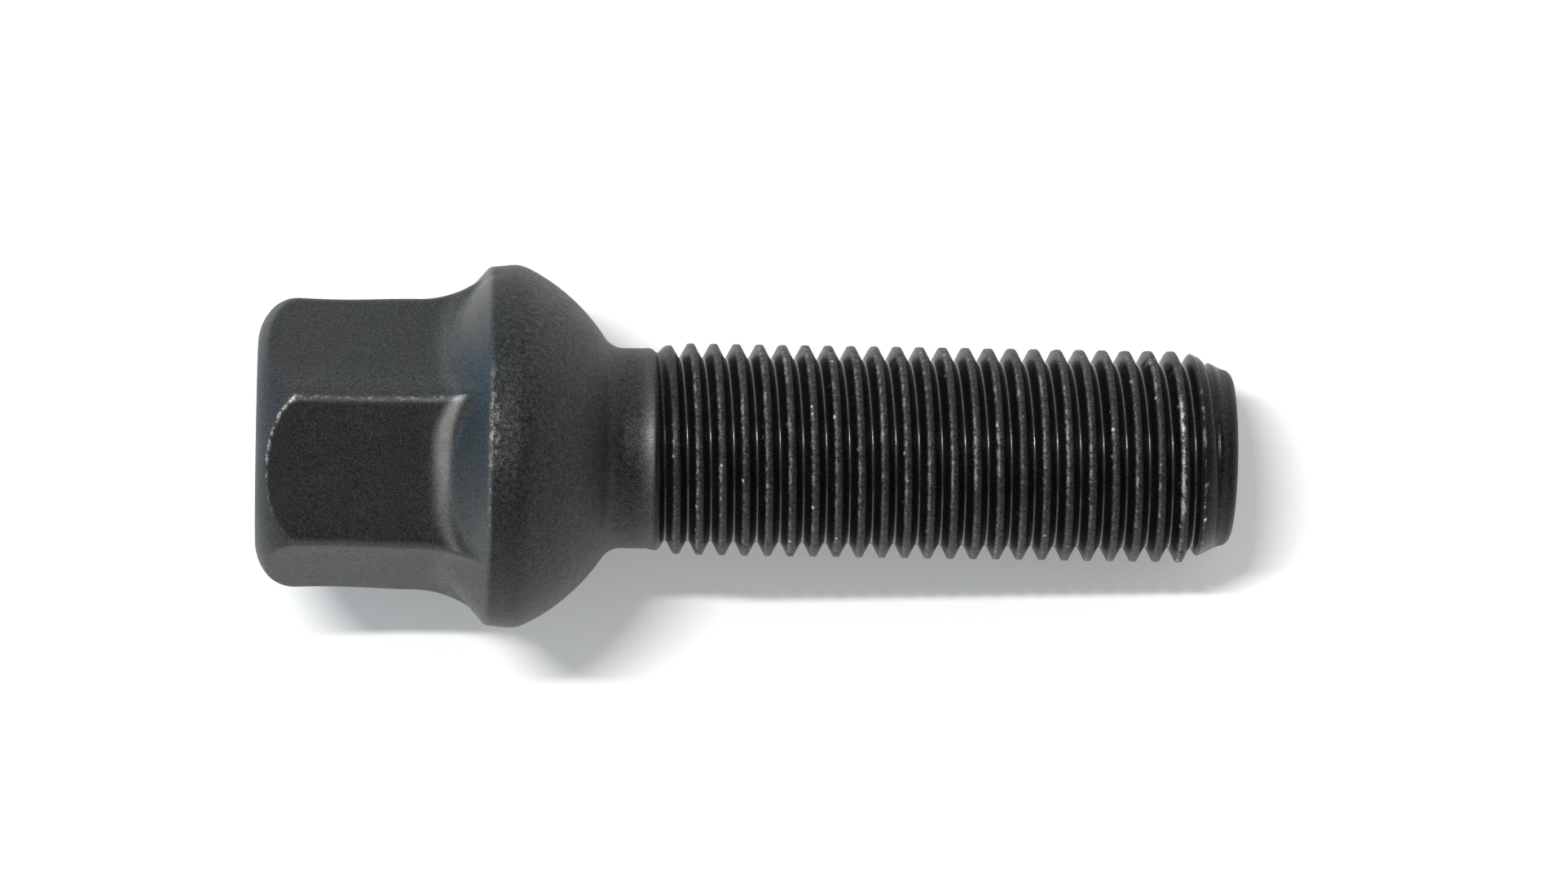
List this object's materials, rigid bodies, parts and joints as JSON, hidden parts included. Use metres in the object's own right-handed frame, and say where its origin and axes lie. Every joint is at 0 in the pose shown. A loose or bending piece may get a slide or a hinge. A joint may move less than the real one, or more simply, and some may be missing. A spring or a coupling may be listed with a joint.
{
  "type": "wheel bolt",
  "caption": "One-piece black steel wheel bolt with a hexagon head, a flared collar with a ball seat and a fine-thread shank, for clamping a car wheel to its hub.",
  "frame": {"origin": "middle of the head's end, on which the bolt stands", "axes": "+Z along the bolt's axis, from the head to the tip; +X through a corner of the hexagon"},
  "size_m": [0.0238, 0.0238, 0.0637],
  "materials": {
    "black_steel": "black phosphate, satin, worn bright on edges and thread crests"
  },
  "bodies": {
    "root": {"wheel_bolt": "black_steel"}
  },
  "joints": []
}
